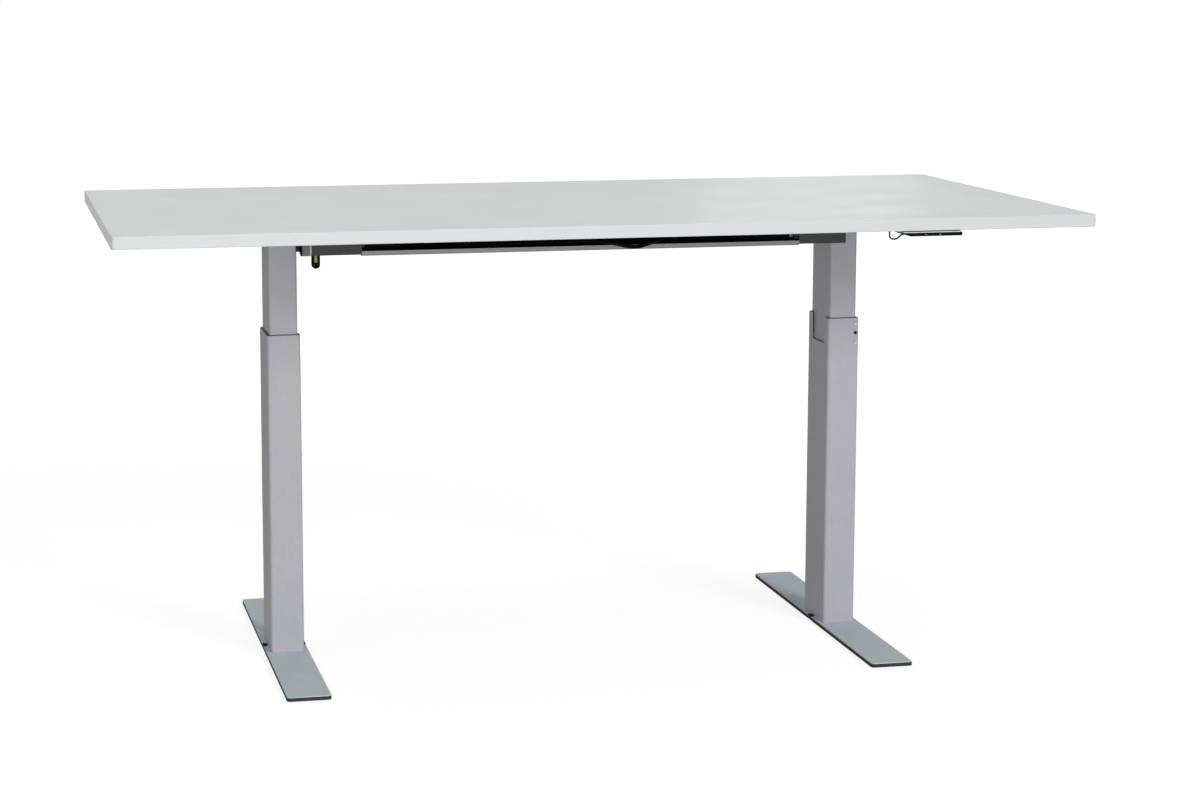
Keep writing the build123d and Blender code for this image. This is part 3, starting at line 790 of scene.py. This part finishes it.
@dataclass(frozen=True)
class LegDetails(Details):
    """The screws and plugs of one leg, in millimetres.

    Three screws set its glide, two bolts hold its foot, and two plugs fill the foot's notches.
    Each glide screw is given by its drop from the tube's top and its finish.
    """

    side: Side
    glide_screw: Screw = Screw(3.2, 1.6, 2.0, 2.4, Drive.HEX_SOCKET, 1.6, 1.2)
    glide_screw_edge: float = 7.5
    glide_screws: tuple[tuple[float, str], ...] = (
        (11.0, "plain_steel"),
        (29.0, "black_plastic"),
        (49.0, "plain_steel"),
    )
    foot_bolt: Screw = Screw(
        9.0, 4.0, 5.0, 10.0, Drive.HEX_SOCKET, 3.4, 2.6, countersunk=True, crown=0.4
    )
    plug_radius: float = 7.7
    plug_height: float = 7.7
    plug_lift: float = 0.3
    plug_rounding: float = 0.4
    cap_stretch: Pair = (1.13, 1.6)
    cap_height: float = 1.6
    cap_crown: float = 0.6
    cap_taper: float = 0.9

    def build_glide_screws(self) -> None:
        """Puts the glide's screws in the front of the tube.

        The left leg is the right one turned round, so its screws are in the rear.
        """
        word, leg = self.side.word, self.side.leg
        low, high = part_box(f"{word}_outer_tube")
        edge = self.glide_screw_edge * MM
        head = self.glide_screw.head_height * MM
        if self.side is Side.RIGHT:
            x, y, axis = high.x - edge, low.y - head, FORWARD
        else:
            x, y, axis = low.x + edge, high.y + head, REARWARD
        copies = [
            Copy(f"{word}_glide_screw_{count}", (x, y, high.z - drop * MM), axis, slot, leg)
            for count, (drop, slot) in enumerate(self.glide_screws, 1)
        ]
        self.set_out(self.glide_screw.build(), copies)

    def build_foot_bolts(self) -> None:
        """Puts detailed bolts in place of the plain ones under the foot."""
        nodes = [f"{self.side.word}_{place}_foot_bolt" for place in ("front", "rear")]
        self.swap_screws(self.foot_bolt, nodes, "socket", self.side.leg)

    def build_plugs(self) -> None:
        """Fills the two half round notches in the foot's sides with capped rubber plugs."""
        word, leg = self.side.word, self.side.leg
        low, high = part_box(f"{word}_foot")
        model = rod("plug", self.plug_radius, self.plug_height, self.plug_height / 2)
        with edit(model, facing(UP)):
            bpy.ops.mesh.extrude_region_move(TRANSFORM_OT_translate={"value": CENTRE})
            bpy.ops.transform.resize(value=(*self.cap_stretch, 1.0), center_override=CENTRE)
        grow(model, ((self.cap_height - self.cap_crown, 1.0), (self.cap_crown, self.cap_taper)))
        with edit(model, every_face):
            bpy.ops.mesh.bisect(
                plane_co=CENTRE, plane_no=(-1.0, 0.0, 0.0), use_fill=True, clear_outer=True
            )
        soften(model, self.plug_rounding)
        smooth(model)
        y = (low.y + high.y) / 2
        z = low.z + self.plug_lift * MM
        copies = [
            Copy(f"{word}_foot_{place}_plug", (x, y, z), UP, "foot_rubber", leg, spin)
            for place, x, spin in (("left", low.x, 0.0), ("right", high.x, math.pi))
        ]
        self.set_out(model, copies)

    def build(self) -> None:
        """Builds all the leg's screws and plugs."""
        self.build_glide_screws()
        self.build_foot_bolts()
        self.build_plugs()


@dataclass(frozen=True)
class LeadBoot:
    """A grooved rubber sleeve where a lead leaves a housing, in millimetres."""

    flange_radius: float = 7.5
    flange_height: float = 2.5
    sleeve_radius: float = 6.0
    tip_radius: float = 4.2
    ring_height: float = 3.0
    groove_height: float = 1.4
    groove_depth: float = 0.9
    tip_groove_depth: float = 0.4
    rings: int = 5
    rounding: float = 0.35

    def build(self) -> Object:
        """Models the boot about the Z axis, with the foot of its flange at the origin.

        Returns:
            The boot, to be copied to each place.
        """
        piece = rod("boot", self.flange_radius, self.flange_height, self.flange_height / 2)
        radii = [self.flange_radius]
        rises = []
        for count in range(self.rings):
            share = count / (self.rings - 1)
            ring = self.sleeve_radius + (self.tip_radius - self.sleeve_radius) * share
            groove = max(ring - self.groove_depth, self.tip_radius - self.tip_groove_depth)
            radii += [groove, groove, ring, ring]
            rises += [0.0, self.groove_height, 0.0, self.ring_height]
        grow(piece, [(rise, radii[at + 1] / radii[at]) for at, rise in enumerate(rises)])
        soften(piece, self.rounding)
        smooth(piece)
        return piece


@dataclass(frozen=True)
class HeadDetails(Details):
    """The fastenings and guards on one head arm, its gearbox and its motor.

    Sizes are in millimetres, and the flange screws' angles in degrees.
    """

    side: Side
    desk_screw: Screw = Screw(5.0, 3.0, 2.5, 19.0, Drive.CROSS, 2.6, 1.6, crown=1.2)
    flange_screw: Screw = Screw(2.9, 3.0, 1.8, 2.0, Drive.HEX_SOCKET, 1.5, 1.6, crown=0.4)
    flange_screw_circle: float = 27.2
    flange_screw_angles: tuple[float, ...] = (45.0, 135.0, 225.0, 315.0)
    flange_thickness: float = 5.0
    cap_bolt: Screw = Screw(3.4, 3.0, 2.2, 2.0, Drive.HEX_SOCKET, 1.8, 1.8, crown=0.5)
    cap_bolt_circle: float = 18.5
    boot: LeadBoot = LeadBoot()
    lead_drop: float = 7.4
    flange_wall: float = 3.0
    guard_wall: float = 1.5
    guard_depth: float = 31.0
    guard_rise: float = 4.5
    guard_drop: float = 6.0
    guard_lip: float = 1.0
    guard_rounding: float = 0.5
    gearbox_gap: float = 2.0

    def build_desk_screws(self) -> None:
        """Puts detailed screws in place of the plain ones that hold the arm under the desktop."""
        nodes = [f"{self.side.word}_{place}_desk_screw" for place in ("front", "rear")]
        self.swap_screws(self.desk_screw, nodes, "cross", "top")

    def build_motor_fittings(self) -> None:
        """Puts screws in the gearbox flange, bolts in the motor's cap and a boot on its lead."""
        word, sign = self.side.word, self.side.value
        low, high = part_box(f"{word}_motor")
        axis_y = (low.y + high.y) / 2
        axis_z = (low.z + high.z) / 2
        gear_end, cap_end = (low.x, high.x) if self.side is Side.LEFT else (high.x, low.x)
        outboard = (float(sign), 0.0, 0.0)
        inboard = (float(-sign), 0.0, 0.0)
        face_x = gear_end + sign * (self.flange_thickness + self.flange_screw.head_height) * MM
        reach = self.flange_screw_circle * MM
        ring = [
            (face_x, axis_y + reach * math.cos(turn), axis_z + reach * math.sin(turn))
            for turn in map(math.radians, self.flange_screw_angles)
        ]
        copies = [
            Copy(f"{word}_flange_screw_{count}", spot, outboard, "plain_steel")
            for count, spot in enumerate(ring, 1)
        ]
        self.set_out(self.flange_screw.build(), copies)
        bolt_x = cap_end - sign * self.cap_bolt.head_height * MM
        bolts = (axis_y - self.cap_bolt_circle * MM, axis_y + self.cap_bolt_circle * MM)
        copies = [
            Copy(f"{word}_motor_bolt_{count}", (bolt_x, y, axis_z), inboard, "plain_steel")
            for count, y in enumerate(bolts, 1)
        ]
        self.set_out(self.cap_bolt.build(), copies)
        lead = (cap_end, axis_y, axis_z - self.lead_drop * MM)
        self.set_out(self.boot.build(), [Copy(f"{word}_motor_boot", lead, inboard, "lead_jacket")])

    def build_guards(self) -> None:
        """Clips a guard on each edge of the arm's flange where the gearbox passes through it."""
        word = self.side.word
        arm_low, arm_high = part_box(f"{word}_head_arm")
        box_low, box_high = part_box(f"{word}_gearbox")
        inner_x = arm_high.x if self.side is Side.LEFT else arm_low.x
        x = inner_x + self.side.value * self.flange_wall / 2 * MM
        height = (arm_high.z - arm_low.z) / MM - self.guard_rise - self.guard_drop
        wide, deep = self.flange_wall + 2 * self.guard_wall, self.guard_depth
        model = block("guard", (wide, deep, height))
        slot_middle = (0.0, -self.guard_lip, 0.0)
        cut(model, block("slot", (self.flange_wall, deep, 2 * height), slot_middle))
        soften(model, self.guard_rounding)
        smooth(model)
        z = arm_low.z + (self.guard_rise + height / 2) * MM
        offset = (self.gearbox_gap - self.guard_lip + deep / 2) * MM
        edges = (("front", box_low.y - offset, 0.0), ("rear", box_high.y + offset, math.pi))
        copies = [
            Copy(f"{word}_{place}_guard", (x, y, z), UP, "black_plastic", spin=spin)
            for place, y, spin in edges
        ]
        self.set_out(model, copies)

    def build(self) -> None:
        """Builds all the head's fastenings and guards."""
        self.build_desk_screws()
        self.build_motor_fittings()
        self.build_guards()


@dataclass(frozen=True)
class RailDetails(Details):
    """The screws in the rails' tongues and what carries leads on the front rail, in millimetres."""

    tongue_screw: Screw = Screw(4.0, 3.0, 2.8, 9.0, Drive.HEX_SOCKET, 1.1, 1.0, crown=0.5)
    slot_places: tuple[float, ...] = (-211.0, 180.6)
    slot_height: float = 800.6
    web_thickness: float = 2.0
    grommet_radius: float = 7.4
    grommet_sides: int = 40
    grommet_stretch: float = 1.7
    grommet_flange: float = 1.6
    grommet_waist: float = 0.62
    grommet_rounding: float = 0.5
    plug_boot: LeadBoot = LeadBoot(
        flange_radius=3.8, flange_height=1.0, sleeve_radius=3.4, tip_radius=2.6, ring_height=1.5,
        groove_height=0.6, groove_depth=0.5, rings=3,
    )

    def build_tongue_screws(self) -> None:
        """Puts detailed screws in place of the plain ones.

        They take black enamel on the left as painted shade, and are bright zinc on the right.
        """
        copies = []
        for rail, axis in (("front", FORWARD), ("rear", REARWARD)):
            for side in Side:
                node = f"{rail}_{side.word}_tongue_screw"
                spot = face_middle(node, axis)
                # The left screws take black enamel as painted shade.
                slot = "motor_black" if side is Side.LEFT else "plain_steel"
                copies.append(Copy(f"{node}_socket", spot, axis, slot, replaced=(node,)))
        self.set_out(self.tongue_screw.build(), copies)

    def build_grommets(self) -> None:
        """Lines the front rail's two lead slots with oval rubber grommets."""
        flange, waist = self.grommet_flange, self.grommet_waist
        model = rod("grommet", self.grommet_radius, flange, flange / 2, self.grommet_sides)
        with edit(model, every_face):
            bpy.ops.transform.resize(value=(self.grommet_stretch, 1.0, 1.0), center_override=CENTRE)
        grow(model, ((0.0, waist), (self.web_thickness, 1.0), (0.0, 1 / waist), (flange, 1.0)))
        soften(model, self.grommet_rounding)
        smooth(model)
        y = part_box("front_rail")[1].y + flange * MM
        z = self.slot_height * MM
        copies = [
            Copy(f"rail_grommet_{count}", (x * MM, y, z), FORWARD, "foot_rubber")
            for count, x in enumerate(self.slot_places, 1)
        ]
        self.set_out(model, copies)

    def build_plug_boot(self) -> None:
        """Puts a boot under the connector that hangs in the hook."""
        spot = face_middle("connector", DOWN)
        self.set_out(self.plug_boot.build(), [Copy("connector_boot", spot, DOWN, "lead_jacket")])

    def build(self) -> None:
        """Builds the rails' screws, grommets and boot."""
        self.build_tongue_screws()
        self.build_grommets()
        self.build_plug_boot()


@dataclass(frozen=True)
class ControlBoxDetails(Details):
    """The ribs, inlet pins, screws and lead boots of the control box, in millimetres."""

    ear_length: float = 16.0
    ear_thickness: float = 2.5
    ear_screw: Screw = Screw(4.4, 2.6, 2.2, 2.4, Drive.CROSS, 2.3, 1.4, crown=1.0)
    rib_size: Spot = (3.0, 78.0, 1.6)
    rib_taper: Spot = (0.6, 0.98, 1.0)
    rib_rounding: float = 0.3
    rib_pitch: float = 15.0
    rib_count: int = 11
    inlet_place: Pair = (240.0, 817.0)
    inlet_depth: float = 16.0
    pin_size: Spot = (2.0, 11.0, 4.0)
    pin_tip: float = 1.2
    pin_taper: Spot = (0.6, 1.0, 0.7)
    pin_rounding: float = 0.2
    pin_places: tuple[Pair, ...] = ((-7.0, -2.0), (7.0, -2.0), (0.0, 2.0))
    boot: LeadBoot = LeadBoot(flange_radius=6.8, rings=4)
    left_lead_x: float = 191.0
    lead_z: float = 800.6

    def build_ribs(self) -> None:
        """Puts a row of ribs across the box's lower face."""
        model = block("rib", self.rib_size)
        with edit(model, facing(DOWN)):
            bpy.ops.transform.resize(value=self.rib_taper, center_override=CENTRE)
        soften(model, self.rib_rounding)
        smooth(model)
        x, y, z = face_middle("control_box", DOWN)
        z -= self.rib_size[2] / 2 * MM
        first = x - (self.rib_count - 1) / 2 * self.rib_pitch * MM
        row = [first + count * self.rib_pitch * MM for count in range(self.rib_count)]
        copies = [
            Copy(f"control_box_rib_{count}", (place, y, z), UP, "black_plastic")
            for count, place in enumerate(row, 1)
        ]
        self.set_out(model, copies)

    def build_pins(self) -> None:
        """Puts three flat pins in the mains inlet."""
        model = block("pin", self.pin_size)
        with edit(model, facing(REARWARD)):
            bpy.ops.mesh.extrude_region_move(
                TRANSFORM_OT_translate={"value": (0.0, self.pin_tip * MM, 0.0)}
            )
            bpy.ops.transform.resize(value=self.pin_taper, center_override=CENTRE)
        soften(model, self.pin_rounding)
        smooth(model)
        x, z = self.inlet_place
        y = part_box("control_box")[1].y - (self.inlet_depth - self.pin_size[1] / 2) * MM
        copies = [
            Copy(f"inlet_pin_{count}", ((x + across) * MM, y, (z + up) * MM), UP, "plain_steel")
            for count, (across, up) in enumerate(self.pin_places, 1)
        ]
        self.set_out(model, copies)

    def build_ear_screws(self) -> None:
        """Puts a screw in each of the box's ears."""
        low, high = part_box("control_box")
        y = (low.y + high.y) / 2
        z = high.z - (self.ear_thickness + self.ear_screw.head_height) * MM
        inset = self.ear_length / 2 * MM
        copies = [
            Copy(f"control_box_{side.word}_screw", (x, y, z), DOWN, "plain_steel")
            for side, x in ((Side.LEFT, low.x + inset), (Side.RIGHT, high.x - inset))
        ]
        self.set_out(self.ear_screw.build(), copies)

    def build_boots(self) -> None:
        """Puts a boot where each motor's lead goes into the box."""
        low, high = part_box("control_box")
        left = (self.left_lead_x * MM, low.y, self.lead_z * MM)
        right = (high.x - self.ear_length * MM, (low.y + high.y) / 2, self.lead_z * MM)
        entries = ((Side.LEFT, left, FORWARD), (Side.RIGHT, right, RIGHTWARD))
        copies = [
            Copy(f"control_box_{side.word}_boot", spot, axis, "lead_jacket")
            for side, spot, axis in entries
        ]
        self.set_out(self.boot.build(), copies)

    def build(self) -> None:
        """Builds all that is on the control box."""
        self.build_ribs()
        self.build_pins()
        self.build_ear_screws()
        self.build_boots()


@dataclass(frozen=True)
class HandsetDetails(Details):
    """The arrows on the handset's keys, in millimetres."""

    arrow_corners: int = 3
    arrow_radius: float = 1.35
    arrow_height: float = 0.2
    arrow_line: float = 0.5
    arrow_rounding: float = 0.04

    def build(self) -> None:
        """Puts a raised arrow on each key."""
        model = rod("arrow", self.arrow_radius, self.arrow_height, sides=self.arrow_corners)
        grow(model, ((0.0, self.arrow_line), (-self.arrow_height / 2, 1.0)))
        soften(model, self.arrow_rounding, segments=1)
        copies = [
            Copy(f"{key}_arrow", face_middle(key, FORWARD), FORWARD, "pale_plastic", key, spin)
            for key, spin in (("up_key", 0.0), ("down_key", math.pi))
        ]
        self.set_out(model, copies)


@dataclass(frozen=True)
class PhotoCamera:
    """The camera that the desk was photographed with.

    Its place is in millimetres, its turns are in radians, and its lens and centre in pixels.
    """

    place_mm: Spot = (-1158.84, -4980.54, 1350.65)
    yaw: float = 0.20381
    pitch_down: float = 0.14311
    roll: float = -0.00142
    focal_px: float = 2646.87
    centre_px: Pair = (500.0, 330.0)
    sensor_mm: float = 36.0
    far_m: float = 100.0

    def build(self) -> None:
        """Adds the camera and makes it the scene's own."""
        ahead = Vector((math.sin(self.yaw), math.cos(self.yaw), 0.0))
        side = Vector((math.cos(self.yaw), -math.sin(self.yaw), 0.0))
        upright = Vector(UP)
        look = ahead * math.cos(self.pitch_down) - upright * math.sin(self.pitch_down)
        top = upright * math.cos(self.pitch_down) + ahead * math.sin(self.pitch_down)
        right = side * math.cos(self.roll) + top * math.sin(self.roll)
        up = top * math.cos(self.roll) - side * math.sin(self.roll)
        data = bpy.data.cameras.new("photo_camera")
        data.sensor_width = self.sensor_mm
        data.lens = self.sensor_mm * self.focal_px / IMAGE_WIDTH
        data.shift_x = (IMAGE_WIDTH / 2 - self.centre_px[0]) / IMAGE_WIDTH
        data.shift_y = (self.centre_px[1] - IMAGE_HEIGHT / 2) / IMAGE_WIDTH
        data.clip_end = self.far_m
        camera = bpy.data.objects.new("photo_camera", data)
        turn = Matrix((right, up, -look)).transposed().to_4x4()
        camera.matrix_world = Matrix.Translation(Vector(self.place_mm) * MM) @ turn
        bpy.context.scene.collection.objects.link(camera)
        bpy.context.scene.camera = camera


@dataclass(frozen=True)
class Softbox:
    """One square studio lamp, in metres and watts, which may be kept out of mirror images."""

    name: str
    place: Spot
    aim: Spot
    size: float
    power: float
    mirrored: bool = True

    def build(self) -> None:
        """Adds the lamp, turned to its aim."""
        data = bpy.data.lights.new(self.name, "AREA")
        data.size = self.size
        data.energy = self.power
        lamp = bpy.data.objects.new(self.name, data)
        toward = Vector(self.aim) - Vector(self.place)
        lamp.rotation_euler = toward.to_track_quat("-Z", "Y").to_euler()
        lamp.location = self.place
        lamp.visible_camera = False
        lamp.visible_glossy = self.mirrored
        bpy.context.scene.collection.objects.link(lamp)


@dataclass(frozen=True)
class Studio:
    """A white floor, a white surround and soft lamps.

    The floor glows by floor_glow near the desk and is white from far_reach metres on. The lamps
    that would wash out the board's gloss in some view are kept out of mirror images.
    """

    floor_size: float = 40.0
    floor_colour: str = "#8E8E8E"
    floor_glow: float = 0.84
    near_reach: float = 1.6
    far_reach: float = 6.0
    surround: float = 0.3
    lamps: tuple[Softbox, ...] = (
        Softbox("front_softbox", (2.6, -5.2, 3.3), (0.0, 0.0, 0.6), 2.0, 190.0, mirrored=False),
        Softbox("low_softbox", (-1.0, -3.6, 0.5), (-0.6, 0.0, 0.5), 0.8, 56.0, mirrored=False),
        Softbox("side_softbox", (-2.0, 0.3, 3.5), (-0.5, 0.0, 0.8), 0.8, 18.0),
        Softbox("rear_softbox", (2.1, 4.8, 1.9), (0.4, -0.2, 0.86), 0.8, 1.8),
        Softbox("low_rear_softbox", (0.6, 4.2, 0.45), (0.0, 0.0, 0.45), 0.8, 45.0, mirrored=False),
        Softbox("overhead_softbox", (1.2, 0.6, 4.2), (0.4, 0.0, 0.8), 1.8, 13.0),
    )

    def seen_directly(self, tree: NodeTree) -> NodeSocket:
        """Adds a test for rays that see the background itself or through gloss or glass.

        Args:
            tree: The node tree that uses the test.

        Returns:
            A socket that is one for such rays.
        """
        path = add_node(tree, "ShaderNodeLightPath", {}, {}).outputs
        seen = path["Is Camera Ray"]
        for ray in ("Is Glossy Ray", "Is Transmission Ray"):
            links = {0: seen, 1: path[ray]}
            seen = add_node(tree, "ShaderNodeMath", {"operation": "MAXIMUM"}, links).outputs[0]
        return seen

    def build_floor(self) -> None:
        """Adds the floor, which is white to the eye far off and takes the desk's shadow near by."""
        bpy.ops.object.select_all(action="DESELECT")
        bpy.ops.mesh.primitive_plane_add(size=self.floor_size)
        floor = bpy.context.object
        floor.name = "studio_floor"
        material = bpy.data.materials.new("studio_floor_paper")
        material.use_nodes = True
        tree = material.node_tree
        tree.nodes.clear()
        paper = add_node(tree, "ShaderNodeBsdfDiffuse", {"Color": linear(self.floor_colour)}, {})
        place = add_node(tree, "ShaderNodeTexCoord", {}, {}).outputs["Object"]
        distance = add_node(tree, "ShaderNodeVectorMath", {"operation": "LENGTH"}, {0: place})
        fade = add_node(
            tree,
            "ShaderNodeMapRange",
            {
                "interpolation_type": "SMOOTHSTEP",
                "From Min": self.near_reach,
                "From Max": self.far_reach,
                "To Min": self.floor_glow,
                "To Max": 1.0,
            },
            {"Value": distance.outputs["Value"]},
        )
        strength = add_node(
            tree,
            "ShaderNodeMath",
            {"operation": "MULTIPLY"},
            {0: self.seen_directly(tree), 1: fade.outputs["Result"]},
        )
        glow = add_node(tree, "ShaderNodeEmission", {}, {"Strength": strength.outputs[0]})
        both = add_node(
            tree, "ShaderNodeAddShader", {}, {0: paper.outputs["BSDF"], 1: glow.outputs["Emission"]}
        )
        add_node(tree, "ShaderNodeOutputMaterial", {}, {"Surface": both.outputs["Shader"]})
        floor.data.materials.append(material)

    def build_surround(self) -> None:
        """Sets a world that is white to the eye and lights the desk softly from all round."""
        world = bpy.data.worlds.new("studio_surround")
        world.use_nodes = True
        tree = world.node_tree
        tree.nodes.clear()
        level = add_node(
            tree,
            "ShaderNodeMapRange",
            {"To Min": self.surround, "To Max": 1.0},
            {"Value": self.seen_directly(tree)},
        )
        white = add_node(
            tree,
            "ShaderNodeBackground",
            {"Color": (1.0, 1.0, 1.0, 1.0)},
            {"Strength": level.outputs["Result"]},
        )
        add_node(tree, "ShaderNodeOutputWorld", {}, {"Surface": white.outputs["Background"]})
        bpy.context.scene.world = world

    def build(self) -> None:
        """Adds the floor, the surround and the lamps, and sets plain colours."""
        bpy.context.scene.view_settings.view_transform = "Standard"
        self.build_floor()
        self.build_surround()
        for lamp in self.lamps:
            lamp.build()


def main() -> None:
    """Builds the looks of the desk in order."""
    logging.basicConfig(level=logging.INFO)
    PhotoCamera().build()
    Studio().build()
    fitter = Fitter()
    fitter.dress_nodes()
    for side in Side:
        LegDetails(fitter, side).build()
        HeadDetails(fitter, side).build()
    RailDetails(fitter).build()
    ControlBoxDetails(fitter).build()
    HandsetDetails(fitter).build()


if __name__ == "__main__":
    main()
